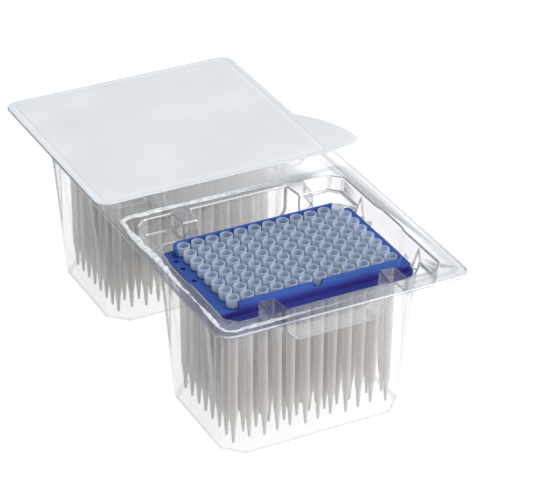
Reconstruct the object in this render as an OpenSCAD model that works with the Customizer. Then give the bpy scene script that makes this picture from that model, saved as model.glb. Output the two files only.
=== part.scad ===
// Twin blister pack of long pipette tips.
// One clear formed sheet has two deep wells side by side. Each well holds a
// rack, and each rack holds a grid of tips. The near well is opened, and the
// far well is still sealed by its lid.
// The origin is the middle of the open well's underside. +X runs along the
// columns, +Y towards the sealed well, and +Z up.

/* [Tips] */
// Spacing of the tips both ways
pitch = 9; // [8:0.1:11]
// Full length of a tip
tip_len = 96.3; // [80:0.1:116]
// Space between neighbouring collars
collar_gap = 1.4; // [0.6:0.1:1.8]
// Thickness of the collar's wall
collar_wall = 0.7; // [0.4:0.05:0.9]
// Height of the straight bore's lower end above the collar's underside
bore_step = 1.2; // [0.8:0.1:2.4]
// Step from the collar's radius in to the neck's radius
collar_step = 0.85; // [0.75:0.05:1.1]
// Loss of radius along the long body
body_draft = 0.5; // [0.2:0.05:0.8]
// Loss of radius in the fast taper
taper_step = 0.8; // [0.3:0.05:0.9]
// Length of the fast taper
taper_len = 5.5; // [3:0.5:10]
// Length of the nozzle
nozzle_len = 12; // [8:0.5:18]
// Radius of the nozzle's end
end_r = 0.75; // [0.55:0.05:0.9]
// Thickness of the tip's wall at the end
end_wall = 0.35; // [0.2:0.05:0.4]
// Thickness of the tip's wall along the body
body_wall = 0.5; // [0.35:0.05:0.6]
// Largest lean of a tip in its socket, in degrees
lean_max = 1.1; // [0:0.1:1.2]

/* [Rack] */
// Width of the deck's end ledges, from the last tip's middle
ledge_w = 10.8; // [9:0.1:14]
// Gap between the last tips' collars and a long wall
wall_gap = 0.9; // [0.5:0.1:3]
// Thickness of the deck
deck_t = 1.6; // [1:0.1:2.4]
// Thickness of the rack's walls
wall_t = 1.3; // [1:0.1:1.4]
// How far the deck lies below the tips' mouths
deck_drop = 5.4; // [4.4:0.1:8]
// How far the long walls stop below the tips' mouths
wall_drop = 0.2; // [0:0.1:1.5]
// Height of the deck's top above the foot rim's underside
deck_rise = 4.7; // [4:0.1:8]
// Thickness of the foot rim
foot_t = 1.4; // [1:0.1:2]
// How far the foot rim stands out at the front and back
foot_out_d = 5.3; // [3:0.1:6.5]
// How far the foot rim stands out at the ends
foot_out_w = 0.9; // [0.4:0.1:1.6]
// Radius of the foot rim's corners
foot_r = 8; // [7:0.5:12]
// Clearance round a tip's neck in its socket
socket_gap = 0.25; // [0.15:0.05:0.4]
// Height of the ring round each socket
ring_h = 0.4; // [0.2:0.1:1.2]
// Diameter of the coding holes in the left ledge
code_hole_d = 3; // [2:0.1:4]
// Width of the notch in the front wall
notch_w = 6; // [4:0.5:8]

/* [Wells] */
// Thickness of the clear sheet
sheet_t = 0.7; // [0.4:0.05:1.2]
// Height of the flange's top above the tips' mouths
head_room = 3.9; // [2:0.1:8]
// Gap between the tips' ends and the floor
end_gap = 3; // [1.5:0.1:12]
// Gap between the rack's foot rim and the well's mouth at each end
side_gap = 5.1; // [4:0.1:9]
// Gap between the foot rim and the lugs' faces at the mouth
lug_gap = 5.2; // [3.5:0.1:9]
// How far each end wall leans in, from the flange to the floor
draft_w = 9.3; // [4:0.1:10]
// How far each long wall leans in, from the flange to the floor
draft_d = 7.5; // [4:0.1:9]
// Gap between the foot rim's corner and the flat across the well's corner
corner_gap = 1.2; // [0.6:0.1:3]
// Width of each shoulder that carries the rack
shoulder_w = 10; // [6:0.5:14]
// How far a shoulder reaches in under the foot rim
shoulder_grip = 2.2; // [1.2:0.1:4]

/* [Hand pockets] */
// How far the pockets stand out past the lugs
pocket_out = 13.5; // [8:0.5:18]
// Width of the middle pocket at the flange
pocket_w = 62; // [44:0.5:72]
// How deep the middle pocket reaches below the flange
pocket_drop = 22.7; // [12:0.1:40]
// Leg of the flat across the middle pocket's lower corners
pocket_leg = 6; // [2:0.5:10]
// How deep the corner pockets reach below the flange
shelf_drop = 10.4; // [6:0.1:13]
// Width of each lug between a middle pocket and a corner pocket
lug_w = 12; // [6:0.5:15]
// Leg of the flat across the corner pockets' outer corners
shelf_leg = 6; // [2:0.5:10]
// Length of the shallow bay in each end wall
bay_len = 23; // [10:0.5:30]
// How far the bay in each end wall stands out
bay_out = 1.2; // [0.4:0.1:3]
// Depth of the bay below the flange
bay_drop = 4.6; // [2:0.1:8]

/* [Flange] */
// Width of the flange past the mouth at each side
flange_side = 11.5; // [9:0.5:16]
// Width of the flange past the pockets at the front and back
flange_end = 13.2; // [10:0.1:20]
// Width of the bridge between the two wells' pockets
bridge = 36; // [30:0.5:50]
// Radius of the flange's corners
flange_r = 9; // [4:0.5:14]
// How far the flange's edge is turned down
rim_drop = 1.9; // [1.2:0.1:6]

/* [Lid] */
// Thickness of the lid sheet
lid_t = 0.3; // [0.15:0.05:0.6]
// How far the lid's edge stays inside the flange's edge
lid_inset = 0.8; // [0.4:0.1:3]
// Gap in the bridge between the lid and the pack's middle line
lid_gap = 7; // [4:0.5:9]
// Radius of the lid's corners
lid_r = 8; // [4:0.5:14]
// How far the pull tab stands out past the lid's side
tab_out = 21; // [12:0.5:30]
// Length of the pull tab's root along the lid's side
tab_len = 54; // [40:1:70]
// Radius of the pull tab's nose
tab_r = 10; // [6:0.5:14]
// Width of the band of seal left on the open well's flange
seal_w = 4.4; // [2:0.1:5]
// Thickness of that band
seal_t = 0.2; // [0.1:0.05:0.4]
// How far the band stays inside the lid's former edge
seal_inset = 2.2; // [1:0.1:3]

/* [Hidden] */
$fn = 48;

// A small step past a face, so that a cut goes right through it
over = 1;
columns = 12;
rows = 8;

// Gap between the foot rim and a guide's ridge, how the guide widens, and how
// far below the flange it fades out
guide_gap = 0.7;
guide_flare = 1.5;
guide_end = 3;
// How far the pockets' and the corner shelves' walls lean in
pocket_draft = 1.3;
shelf_draft = 0.6;
// Length of the slanting run at each end of a bay
bay_run = 4;

// Radius of the deck's corners, and thickness of the ribs under it
deck_r = 3;
rib_t = 1;
// How far the ring round a socket stands out past the collar
ring_out = 0.4;
// How far a long wall runs on round the corner, how far short of the last
// column's middle it stops, and the depth of its finger notch
wrap_len = 3;
wall_stop = 1;
notch_deep = 4;
// Where the coding holes are: in from the deck's end, the first one's place
// along the ledge, and the steps from it, in pitches
code_in = 3.4;
code_y = 25.6;
code_steps = [0, 1, 2.65];

// Depth below the collar at which a tip's bore meets the body's wall
bore_blend = 1;

// The pull tab: slope of its front edge, and how much its back edge bulges
tab_slope = 2;
tab_bulge = 3;

// Radii of a tip, from the collar down
collar_r = (pitch - collar_gap) / 2;
bore_r = collar_r - collar_wall;
neck_r = collar_r - collar_step;
waist_r = neck_r - body_draft;
nozzle_r = waist_r - taper_step;
socket_r = neck_r + socket_gap;
ring_r = collar_r + ring_out;

// The rack's plan. edge_d is its reach past the last tips' middles.
edge_d = collar_r + wall_gap + wall_t;
deck_w = (columns - 1) * pitch + 2 * ledge_w;
deck_d = (rows - 1) * pitch + 2 * edge_d;
foot_w = deck_w + 2 * foot_out_w;
foot_d = deck_d + 2 * foot_out_d;

// Heights, from the floor up
mouth_z = sheet_t + end_gap + tip_len;
flange_h = mouth_z + head_room;
seat_z = mouth_z - deck_drop;
deck_z = seat_z - ring_h;
foot_z = deck_z - deck_rise;

// The wells' plan at the flange, measured inside the sheet
mouth_w = foot_w + 2 * side_gap;
mouth_d = foot_d + 2 * lug_gap;
span_d = mouth_d + 2 * pocket_out;

// The flat across each of a well's corners, clear of the foot rim's corner
foot_corner = (foot_w + foot_d - 4 * foot_r) / sqrt(8) + foot_r;
corner_leg = half_w(foot_z) + half_d(foot_z) - sqrt(2) * (foot_corner + corner_gap);

// The flange's plan
pack_w = mouth_w + 2 * flange_side;
end_margin = span_d / 2 + flange_end;
well_pitch = span_d + bridge;
pack_d = 2 * end_margin + well_pitch;
mid_y = well_pitch / 2;

// The lid's plan, from the sealed well's middle
lid_w = pack_w - 2 * lid_inset;
lid_front = mid_y - lid_gap;
lid_back = end_margin - lid_inset;

clear = [0.86, 0.88, 0.90, 0.35];
foil = [0.88, 0.91, 0.92];
haze = [0.93, 0.94, 0.94, 0.8];
rack_blue = [0.17, 0.27, 0.62];
tip_clear = [0.72, 0.75, 0.80, 0.6];

// Half the well's inner width and depth at a height
function half_w(z) = mouth_w / 2 - draft_w * (1 - z / flange_h);
function half_d(z) = mouth_d / 2 - draft_d * (1 - z / flange_h);

// A tip's lean about X and Y, in degrees: mixed, but the same every time
function mixed(i) = 2 * ((i * 0.618034 + 0.37) % 1) - 1;
function lean_x(c, r) = c == 0 ? 0 : lean_max * mixed(7 * c + 3 * r + 2);
function lean_y(c, r) = c == 0 ? 0 : lean_max * mixed(5 * c + 11 * r);

// A symmetric outline whose half width goes from low to top between two heights
function wedge(low, top, z0, z1) = [[-low, z0], [low, z0], [top, z1], [-top, z1]];

// A flat sheet with rounded corners, between two heights
module rounded_slab(w, d, r, z0, z1) {
    translate([0, 0, z0])
        linear_extrude(z1 - z0)
            union() {
                square([w - 2 * r, d], center = true);
                square([w, d - 2 * r], center = true);
                for (sx = [-1, 1], sy = [-1, 1])
                    translate([sx * (w / 2 - r), sy * (d / 2 - r)])
                        circle(r);
            }
}

// An outline in X and Z, run along Y for a length about the middle
module along_y(points, len) {
    rotate([90, 0, 0])
        translate([0, 0, -len / 2])
            linear_extrude(len)
                polygon(points);
}

// An outline in Y and Z, run along X for a length about the middle
module along_x(points, len) {
    rotate([90, 0, 90])
        translate([0, 0, -len / 2])
            linear_extrude(len)
                polygon(points);
}

// A block between two long walls, with flats across its corners. All of them
// lean in towards its floor. w and d are its half width and half depth at the
// floor and at the top, and it is grown by g.
module leaning_block(w, d, leg, g, z0, z1) {
    k = (w + d - [leg, leg]) / sqrt(2);
    reach = 4 * (w[1] + d[1]);
    intersection() {
        along_x(wedge(d[0] + g, d[1] + g, z0, z1), reach);
        intersection_for (turn = [-45, 45])
            rotate([0, 0, turn])
                along_y(wedge(k[0] + g, k[1] + g, z0, z1), reach);
    }
}

// The space of one well, grown outwards and down by g
module well_space(g, top) {
    low = sheet_t - g;
    w = [half_w(low), half_w(top)];
    difference() {
        union() {
            intersection() {
                along_y(wedge(w[0] + g, w[1] + g, low, top), 2 * span_d);
                union() {
                    leaning_block(w, [half_d(low), half_d(top)], corner_leg, g, low, top);
                    corner_pockets(g, top);
                }
            }
            middle_pocket(g, top);
            end_bays(g, top);
        }
        for (sx = [0, 1], sy = [0, 1])
            mirror([sx, 0, 0])
                mirror([0, sy, 0])
                    shoulder(g);
    }
}

// The pocket between the lugs, front and back in one
module middle_pocket(g, top) {
    hw = pocket_w / 2 + g;
    hd = span_d / 2 + g;
    low_w = hw - pocket_draft;
    low = flange_h - pocket_drop - g;
    intersection() {
        along_y([[-low_w, low + pocket_leg], [-low_w + pocket_leg, low],
            [low_w - pocket_leg, low], [low_w, low + pocket_leg],
            [hw, top], [-hw, top]], 4 * hd);
        along_x(wedge(hd - pocket_draft, hd, low, top), 4 * hw);
    }
}

// The shallow pockets at the well's four corners
module corner_pockets(g, top) {
    low = flange_h - shelf_drop - g;
    inner = pocket_w / 2 + lug_w - g;
    half_span = span_d / 2;
    difference() {
        leaning_block([half_w(low), half_w(top)], [half_span - shelf_draft, half_span],
            shelf_leg, g, low, top);
        translate([-inner, -span_d, low - over])
            cube([2 * inner, 2 * span_d, top - low + 2 * over]);
    }
}

// The shallow bays half way along the end walls
module end_bays(g, top) {
    low = flange_h - bay_drop - g;
    in = mouth_w / 2 - bay_out + g;
    out = mouth_w / 2 + bay_out + g;
    half = bay_len / 2;
    far = half + 2 * bay_run;
    translate([0, 0, low])
        linear_extrude(top - low)
            polygon([[-in, -far], [in, -far], [out, -half], [out, half],
                [in, far], [-in, far], [-out, half], [-out, -half]]);
}

// One shoulder: an upright pilaster with a flat top under the foot rim, and
// the ridged guide above it, which fades out just below the flange
module shoulder(g) {
    face = foot_w / 2 - shoulder_grip + g;
    half = shoulder_w / 2 - g;
    y = foot_d / 2 - foot_r / 2 - shoulder_w / 2;
    ridge = foot_w / 2 + guide_gap;
    fade_z = flange_h - guide_end;
    tilt = atan((half_w(fade_z) - ridge) / (fade_z - foot_z));
    translate([face, y - half, -over])
        cube([3 * shoulder_w, 2 * half, foot_z - g + over]);
    intersection() {
        translate([ridge + g, y, foot_z])
            rotate([0, tilt, 0])
                translate([0, 0, -shoulder_w])
                    linear_extrude(2 * flange_h)
                        polygon([[0, 0], [shoulder_w, -guide_flare * shoulder_w],
                            [shoulder_w, guide_flare * shoulder_w]]);
        translate([0, y - shoulder_w, foot_z - 2 * sheet_t])
            cube([mouth_w, 2 * shoulder_w, flange_h]);
    }
}

// The clear sheet: flange, turned-down rim and both wells in one piece
module blister_sheet() {
    color(clear)
        difference() {
            union() {
                translate([0, mid_y, 0]) {
                    rounded_slab(pack_w, pack_d, flange_r, flange_h - sheet_t, flange_h);
                    difference() {
                        rounded_slab(pack_w, pack_d, flange_r, flange_h - rim_drop, flange_h);
                        rounded_slab(pack_w - 2 * sheet_t, pack_d - 2 * sheet_t,
                            flange_r - sheet_t, flange_h - rim_drop - over, flange_h);
                    }
                }
                for (y = [0, well_pitch])
                    translate([0, y, 0])
                        well_space(sheet_t, flange_h - sheet_t / 2);
            }
            for (y = [0, well_pitch])
                translate([0, y, 0])
                    well_space(0, flange_h + over);
        }
}

// The lid on the sealed well, with its pull tab in one piece
module sealed_lid() {
    front = well_pitch - lid_front;
    len = lid_front + lid_back;
    color(foil)
        union() {
            translate([0, front + len / 2, 0])
                rounded_slab(lid_w, len, lid_r, flange_h, flange_h + lid_t);
            translate([lid_w / 2, front, flange_h])
                linear_extrude(lid_t)
                    pull_tab();
        }
}

// The pull tab's outline, from the front corner of the lid's side
module pull_tab() {
    nose = [tab_out - tab_r, tab_slope + tab_r];
    belly = [(nose[0] + tab_r) / 2 + tab_bulge, (nose[1] + tab_len) / 2 + tab_bulge];
    polygon([[-lid_r, 0], [0, 0], nose - [0, tab_r], nose,
        nose + tab_r * [cos(24), sin(24)], belly, [0, tab_len], [-lid_r, tab_len]]);
    translate(nose)
        circle(tab_r);
}

// The band of seal that the peeled lid left round the open well
module seal_residue() {
    w = lid_w - 2 * seal_inset;
    front = lid_back - seal_inset;
    back = lid_front - seal_inset;
    color(haze)
        translate([0, (back - front) / 2, 0])
            difference() {
                rounded_slab(w, front + back, lid_r, flange_h, flange_h + seal_t);
                rounded_slab(w - 2 * seal_w, front + back - 2 * seal_w, lid_r - seal_w / 2,
                    flange_h - over, flange_h + seal_t + over);
            }
}

// The place of the tip in column c and row r
function place(c, r) = [(c - (columns - 1) / 2) * pitch, ((rows - 1) / 2 - r) * pitch];

// The back one of a rack's two long walls. It turns in round the first
// column's end tip, and stops short of the last column's. The front wall is
// its half-turn copy.
module long_wall() {
    corner = place(0, 0);
    low = deck_z - deck_t;
    high = mouth_z - wall_drop - low;
    translate([corner[0], deck_d / 2 - wall_t, low])
        cube([(columns - 1) * pitch - wall_stop, wall_t, high]);
    translate([corner[0] - edge_d, corner[1] - wrap_len, low])
        cube([wall_t, wrap_len, high]);
    translate([corner[0], corner[1], low])
        intersection() {
            difference() {
                cylinder(r = edge_d, h = high);
                translate([0, 0, -over])
                    cylinder(r = edge_d - wall_t, h = high + 2 * over);
            }
            translate([-edge_d, 0, 0])
                cube([edge_d, edge_d, high]);
        }
}

// The finger notch in the middle of the front wall
module wall_notch() {
    r = notch_w / 2;
    translate([0, -deck_d / 2 - over, mouth_z - wall_drop - notch_deep + r]) {
        rotate([-90, 0, 0])
            cylinder(r = r, h = wall_t + 2 * over);
        translate([-r, 0, 0])
            cube([notch_w, wall_t + 2 * over, notch_deep]);
    }
}

// The stiffening ribs under the deck, between the rows and the columns
module deck_ribs() {
    top = deck_z - deck_t / 2;
    for (r = [1 : rows - 1])
        translate([(wall_t - deck_w) / 2, (r - rows / 2) * pitch - rib_t / 2, foot_z])
            cube([deck_w - wall_t, rib_t, top - foot_z]);
    for (c = [1 : columns - 1])
        translate([(c - columns / 2) * pitch - rib_t / 2, (wall_t - deck_d) / 2, foot_z + rib_t])
            cube([rib_t, deck_d - wall_t, top - foot_z - rib_t]);
}

// The tray that carries the sockets: deck, skirt and foot rim
module deck_tray() {
    difference() {
        union() {
            rounded_slab(deck_w, deck_d, deck_r, foot_z, deck_z);
            rounded_slab(foot_w, foot_d, foot_r, foot_z, foot_z + foot_t);
        }
        rounded_slab(deck_w - 2 * wall_t, deck_d - 2 * wall_t, deck_r - wall_t,
            foot_z - over, deck_z - deck_t);
    }
}

// A cylinder at every place of the grid, from a height up
module at_each_place(radius, z0, len) {
    for (c = [0 : columns - 1], r = [0 : rows - 1])
        translate([place(c, r)[0], place(c, r)[1], z0])
            cylinder(r = radius, h = len);
}

// A whole rack, over a well's middle
module rack() {
    cut = mouth_z - foot_z;
    color(rack_blue)
        difference() {
            union() {
                deck_tray();
                deck_ribs();
                at_each_place(ring_r, deck_z - deck_t, deck_t + ring_h);
                long_wall();
                rotate([0, 0, 180])
                    long_wall();
            }
            at_each_place(socket_r, foot_z - over, cut);
            for (step = code_steps)
                translate([code_in - deck_w / 2, code_y - step * pitch, foot_z - over])
                    cylinder(d = code_hole_d, h = cut);
            wall_notch();
        }
}

module rack_open() {
    rack();
}

module rack_sealed() {
    translate([0, well_pitch, 0])
        rack();
}

// One tip, upright, with the underside of its collar at the origin
module tip() {
    end_z = deck_drop - tip_len;
    nozzle_z = end_z + nozzle_len;
    waist_z = nozzle_z + taper_len;
    rotate_extrude()
        polygon([[collar_r, deck_drop], [collar_r, 0], [neck_r, 0],
            [waist_r, waist_z], [nozzle_r, nozzle_z], [end_r, end_z],
            [end_r - end_wall, end_z], [nozzle_r - body_wall, nozzle_z],
            [waist_r - body_wall, waist_z], [neck_r - body_wall, -bore_blend],
            [bore_r, bore_step], [bore_r, deck_drop]]);
}

// One column of tips, standing in a rack's sockets. A tip that leans is
// lifted until only the low edge of its collar touches.
module tip_column(c, first_row) {
    color(tip_clear)
        for (r = [0 : rows - 1]) {
            tilt_x = lean_x(c, r + first_row);
            tilt_y = lean_y(c, r + first_row);
            lift = collar_r * sqrt(1 - (cos(tilt_x) * cos(tilt_y)) ^ 2);
            translate([place(c, r)[0], place(c, r)[1], seat_z + lift])
                rotate([tilt_x, tilt_y, 0])
                    tip();
        }
}

module open_column(c) {
    tip_column(c, 0);
}

module sealed_column(c) {
    translate([0, well_pitch, 0])
        tip_column(c, rows);
}

blister_sheet();
sealed_lid();
seal_residue();
rack_open();
rack_sealed();
open_column(0);  // tips_open_column_01
open_column(1);  // tips_open_column_02
open_column(2);  // tips_open_column_03
open_column(3);  // tips_open_column_04
open_column(4);  // tips_open_column_05
open_column(5);  // tips_open_column_06
open_column(6);  // tips_open_column_07
open_column(7);  // tips_open_column_08
open_column(8);  // tips_open_column_09
open_column(9);  // tips_open_column_10
open_column(10);  // tips_open_column_11
open_column(11);  // tips_open_column_12
sealed_column(0);  // tips_sealed_column_01
sealed_column(1);  // tips_sealed_column_02
sealed_column(2);  // tips_sealed_column_03
sealed_column(3);  // tips_sealed_column_04
sealed_column(4);  // tips_sealed_column_05
sealed_column(5);  // tips_sealed_column_06
sealed_column(6);  // tips_sealed_column_07
sealed_column(7);  // tips_sealed_column_08
sealed_column(8);  // tips_sealed_column_09
sealed_column(9);  // tips_sealed_column_10
sealed_column(10);  // tips_sealed_column_11
sealed_column(11);  // tips_sealed_column_12
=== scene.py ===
"""Looks of a twin blister pack of pipette tips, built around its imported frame.

The clear sheet, the lid, the torn seal and the tips are rebuilt here as finer meshes in
the places that the frame gives. The racks keep the frame's own meshes. Lengths are in
millimetres until a mesh is made, and in metres inside the finishes' node trees.
"""

from __future__ import annotations

import logging
import math
from dataclasses import dataclass
from enum import Enum, auto
from functools import cached_property, reduce
from itertools import product
from typing import Callable, Iterable, Sequence
import bmesh  # noqa: E402
import bpy  # noqa: E402
import numpy as np  # noqa: E402
from bpy.types import Material, Node, NodeSocket, Object, World  # noqa: E402
from mathutils import Matrix, Vector, noise  # noqa: E402


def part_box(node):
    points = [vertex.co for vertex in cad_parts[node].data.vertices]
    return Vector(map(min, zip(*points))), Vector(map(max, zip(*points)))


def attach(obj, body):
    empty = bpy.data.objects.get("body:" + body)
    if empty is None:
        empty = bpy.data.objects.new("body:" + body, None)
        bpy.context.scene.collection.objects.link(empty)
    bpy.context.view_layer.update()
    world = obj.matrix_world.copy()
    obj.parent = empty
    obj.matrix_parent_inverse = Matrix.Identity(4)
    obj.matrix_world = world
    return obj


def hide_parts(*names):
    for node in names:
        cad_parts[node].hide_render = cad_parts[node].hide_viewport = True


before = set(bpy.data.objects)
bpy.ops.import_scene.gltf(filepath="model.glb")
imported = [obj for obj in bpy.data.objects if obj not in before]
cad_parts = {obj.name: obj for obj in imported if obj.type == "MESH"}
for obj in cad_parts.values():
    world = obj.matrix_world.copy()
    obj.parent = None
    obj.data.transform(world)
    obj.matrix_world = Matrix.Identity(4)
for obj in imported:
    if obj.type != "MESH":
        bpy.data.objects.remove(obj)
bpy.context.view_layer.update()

log = logging.getLogger("tip_pack")

MM = 0.001
COLUMNS = 12
ROWS = 8
PITCH = 9.0
PLASTIC_IOR = 1.49
BEND = "bend"

Array = np.ndarray
Pair = tuple[float, float]
Rgb = tuple[float, float, float]
Stops = tuple[tuple[float, Rgb | float], ...]
Faces = list[list[int]]


class Well(Enum):
    """The two wells of the pack."""

    OPEN = "open"
    SEALED = "sealed"


class Ends(Enum):
    """What becomes of a loft's first and last loops."""

    FILLED = auto()
    JOINED = auto()


# ---------------------------------------------------------------- frame sizes


def box_mm(node: str) -> tuple[Array, Array]:
    """Lowest and highest corner of a frame node, in millimetres."""
    low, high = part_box(node)
    return np.array(low) / MM, np.array(high) / MM


@dataclass(frozen=True)
class PackSizes:
    """Overall sizes of the pack, measured on the frame."""

    width: float
    end_margin: float
    well_pitch: float
    flange_z: float
    foot_w: float
    foot_d: float
    foot_z: float
    lid_low: Array
    lid_high: Array
    seal_low: Array
    seal_high: Array
    deck_rise: float = 4.7

    @classmethod
    def read(cls) -> PackSizes:
        """Reads the sizes from the frame's nodes.

        Returns:
            The sizes.
        """
        low, high = box_mm("blister_sheet")
        rack_low, rack_high = box_mm("rack_open")
        lid_low, lid_high = box_mm("sealed_lid")
        seal_low, seal_high = box_mm("seal_residue")
        return cls(
            width=high[0] - low[0],
            end_margin=-low[1],
            well_pitch=high[1] + low[1],
            flange_z=high[2],
            foot_w=rack_high[0] - rack_low[0],
            foot_d=rack_high[1] - rack_low[1],
            foot_z=rack_low[2],
            lid_low=lid_low,
            lid_high=lid_high,
            seal_low=seal_low,
            seal_high=seal_high,
        )

    @property
    def deck_z(self) -> float:
        """Height of the racks' decks."""
        return self.foot_z + self.deck_rise


# ------------------------------------------------------------ rounded solids


def both(a: Array, b: Array, r: float) -> Array:
    """Field of the space inside two fields at once, with a rounded edge.

    Args:
        a: First field, negative inside.
        b: Second field, negative inside.
        r: Radius of the edge.

    Returns:
        The joined field.
    """
    edge = np.hypot(np.maximum(a + r, 0), np.maximum(b + r, 0))
    return np.minimum(np.maximum(a, b), -r) + edge


def either(a: Array, b: Array, r: float) -> Array:
    """Field of the space inside either of two fields, with a rounded inner edge."""
    return -both(-a, -b, r)


def rounded_plan(x: Array, y: Array, half: Pair, r: float) -> Array:
    """Distance from the outline of a rectangle with rounded corners.

    Args:
        x: Places along X.
        y: Places along Y.
        half: Half its width and half its depth.
        r: Radius of its corners.

    Returns:
        The distances, negative inside.
    """
    qx = np.abs(x) - (half[0] - r)
    qy = np.abs(y) - (half[1] - r)
    outside = np.hypot(np.maximum(qx, 0), np.maximum(qy, 0))
    return outside + np.minimum(np.maximum(qx, qy), 0) - r


def ticks(*runs: tuple[float, float, float]) -> Array:
    """Grid lines along one axis.

    Args:
        runs: Each run's start, end and widest step.

    Returns:
        The lines in order.
    """
    lines: list[float] = []
    for start, end, step in runs:
        count = max(1, math.ceil((end - start) / step - 1e-6))
        lines += list(np.linspace(start, end, count + 1)[:-1])
    return np.array([*lines, runs[-1][1]])


def window(spans: dict[int, tuple[int, int]]) -> tuple[slice, ...]:
    """Slices of a 3-D array, whole along each axis that isn't named."""
    return tuple(slice(*spans[k]) if k in spans else slice(None) for k in range(3))


def edge_crossings(values: Array, axes: Sequence[Array], along: int) -> tuple[Array, Array]:
    """Where the field changes sign along the grid's edges in one direction.

    Args:
        values: The field on the grid.
        axes: The grid's lines along X, Y and Z.
        along: The direction of the edges.

    Returns:
        A mask of the crossed edges, and the crossing's coordinate on each.
    """
    first = values[window({along: (0, -1)})]
    second = values[window({along: (1, None)})]
    crossed = (first < 0) != (second < 0)
    shape = [1, 1, 1]
    shape[along] = -1
    start = axes[along][:-1].reshape(shape)
    step = np.diff(axes[along]).reshape(shape)
    share = np.where(crossed, first / np.where(crossed, first - second, 1), 0)
    return crossed, start + share * step


def surface_net(values: Array, axes: Sequence[Array]) -> tuple[Array, Array]:
    """A quad mesh of a field's zero surface, with one point in each crossed cell.

    Args:
        values: The field on the grid.
        axes: The grid's lines along X, Y and Z.

    Returns:
        Points, and quads whose normals point into the negative side.
    """
    cells = tuple(n - 1 for n in values.shape)
    total = np.zeros(cells + (3,))
    count = np.zeros(cells)
    coords = np.broadcast_arrays(*np.meshgrid(*axes, indexing="ij", sparse=True))
    crossings = []
    for along in range(3):
        crossed, place = edge_crossings(values, axes, along)
        crossings.append(crossed)
        keep = window({along: (0, -1)})
        point = np.stack([place if k == along else coords[k][keep] for k in range(3)], -1)
        point *= crossed[..., None]
        u, v = [k for k in range(3) if k != along]
        for du, dv in product((0, 1), repeat=2):
            part = window({u: (du, du + cells[u]), v: (dv, dv + cells[v])})
            total += point[part]
            count += crossed[part]
    used = count > 0
    index = np.full(cells, -1)
    index[used] = np.arange(used.sum())
    quads = []
    for along in range(3):
        u, v = (along + 1) % 3, (along + 2) % 3
        steps = np.nonzero(crossings[along][window({u: (1, -1), v: (1, -1)})])
        corners = []
        for du, dv in ((0, 0), (1, 0), (1, 1), (0, 1)):
            at = list(steps)
            at[u], at[v] = steps[u] + du, steps[v] + dv
            corners.append(tuple(at))
        quad = np.stack([index[at] for at in corners], 1)
        outward = values[corners[2]] < 0
        quads.append(np.where(outward[:, None], quad[:, ::-1], quad))
    return total[used] / count[used][:, None], np.concatenate(quads)


def field_slope(shape: Callable[[Array], Array], points: Array, step: float = 0.02) -> Array:
    """Slope of a field at some points.

    Args:
        shape: The field.
        points: The points.
        step: How far to each side the field is read.

    Returns:
        The slopes.
    """
    slope = np.empty_like(points)
    for k, move in enumerate(np.eye(3) * step):
        slope[:, k] = (shape(points + move) - shape(points - move)) / (2 * step)
    return slope


def settle(shape: Callable[[Array], Array], points: Array, rounds: int = 3,
           reach: float = 0.5) -> Array:
    """Moves points onto a field's zero surface.

    Args:
        shape: The field.
        points: Points near its surface.
        rounds: How often they are moved.
        reach: How far they may move each time.

    Returns:
        The moved points.
    """
    for _ in range(rounds):
        slope = field_slope(shape, points)
        move = shape(points) / np.maximum((slope**2).sum(1), 1e-6)
        points = points - np.clip(move, -reach, reach)[:, None] * slope
    return points


# -------------------------------------------------------------- mesh helpers


def raised(plan: Array, z: Array | float) -> Array:
    """Plan points at a height, or at a height each."""
    return np.column_stack([plan, np.broadcast_to(z, len(plan))])


def lofted(loops: Sequence[Array], ends: Ends) -> tuple[Array, Faces]:
    """Joins loops of the same number of points, one after another.

    Args:
        loops: The loops, as rows of points.
        ends: Whether the end loops are filled or joined to each other.

    Returns:
        Points and faces.
    """
    n, last = len(loops[0]), len(loops) - 1
    faces: Faces = []
    for k in range(last + (ends is Ends.JOINED)):
        near, far = k * n, (k + 1) % len(loops) * n
        for i in range(n):
            j = (i + 1) % n
            faces.append([near + i, near + j, far + j, far + i])
    if ends is Ends.FILLED:
        faces += [list(range(n))[::-1], [last * n + i for i in range(n)]]
    return np.concatenate(loops), faces


def new_piece(name: str, points: Array, faces: Iterable[Sequence[int]],
              smooth: bool = True) -> Object:
    """Makes a mesh object from points in millimetres.

    Args:
        name: The piece's name.
        points: Its points.
        faces: Its faces, as rows of point numbers.
        smooth: Whether its faces are shaded smooth.

    Returns:
        The linked object.
    """
    mesh = bpy.data.meshes.new(name)
    rows = [list(map(int, face)) for face in faces]
    mesh.from_pydata((np.asarray(points, float) * MM).tolist(), [], rows)
    mesh.update()
    if smooth:
        mesh.polygons.foreach_set("use_smooth", [True] * len(mesh.polygons))
    piece = bpy.data.objects.new(name, mesh)
    bpy.context.scene.collection.objects.link(piece)
    return piece


def mount_piece(piece: Object, replaced: Sequence[str], finish: Material) -> None:
    """Rides a piece on the pack, gives it its material in a new slot and hides the frame nodes
    that it stands for.

    Args:
        piece: The piece.
        replaced: The frame nodes that it stands for.
        finish: Its material.
    """
    piece.data.materials.append(finish)
    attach(piece, "root")
    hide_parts(*replaced)
    log.info("%s: %d faces", piece.name, len(piece.data.polygons))


# ------------------------------------------------------------------ finishes


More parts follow.
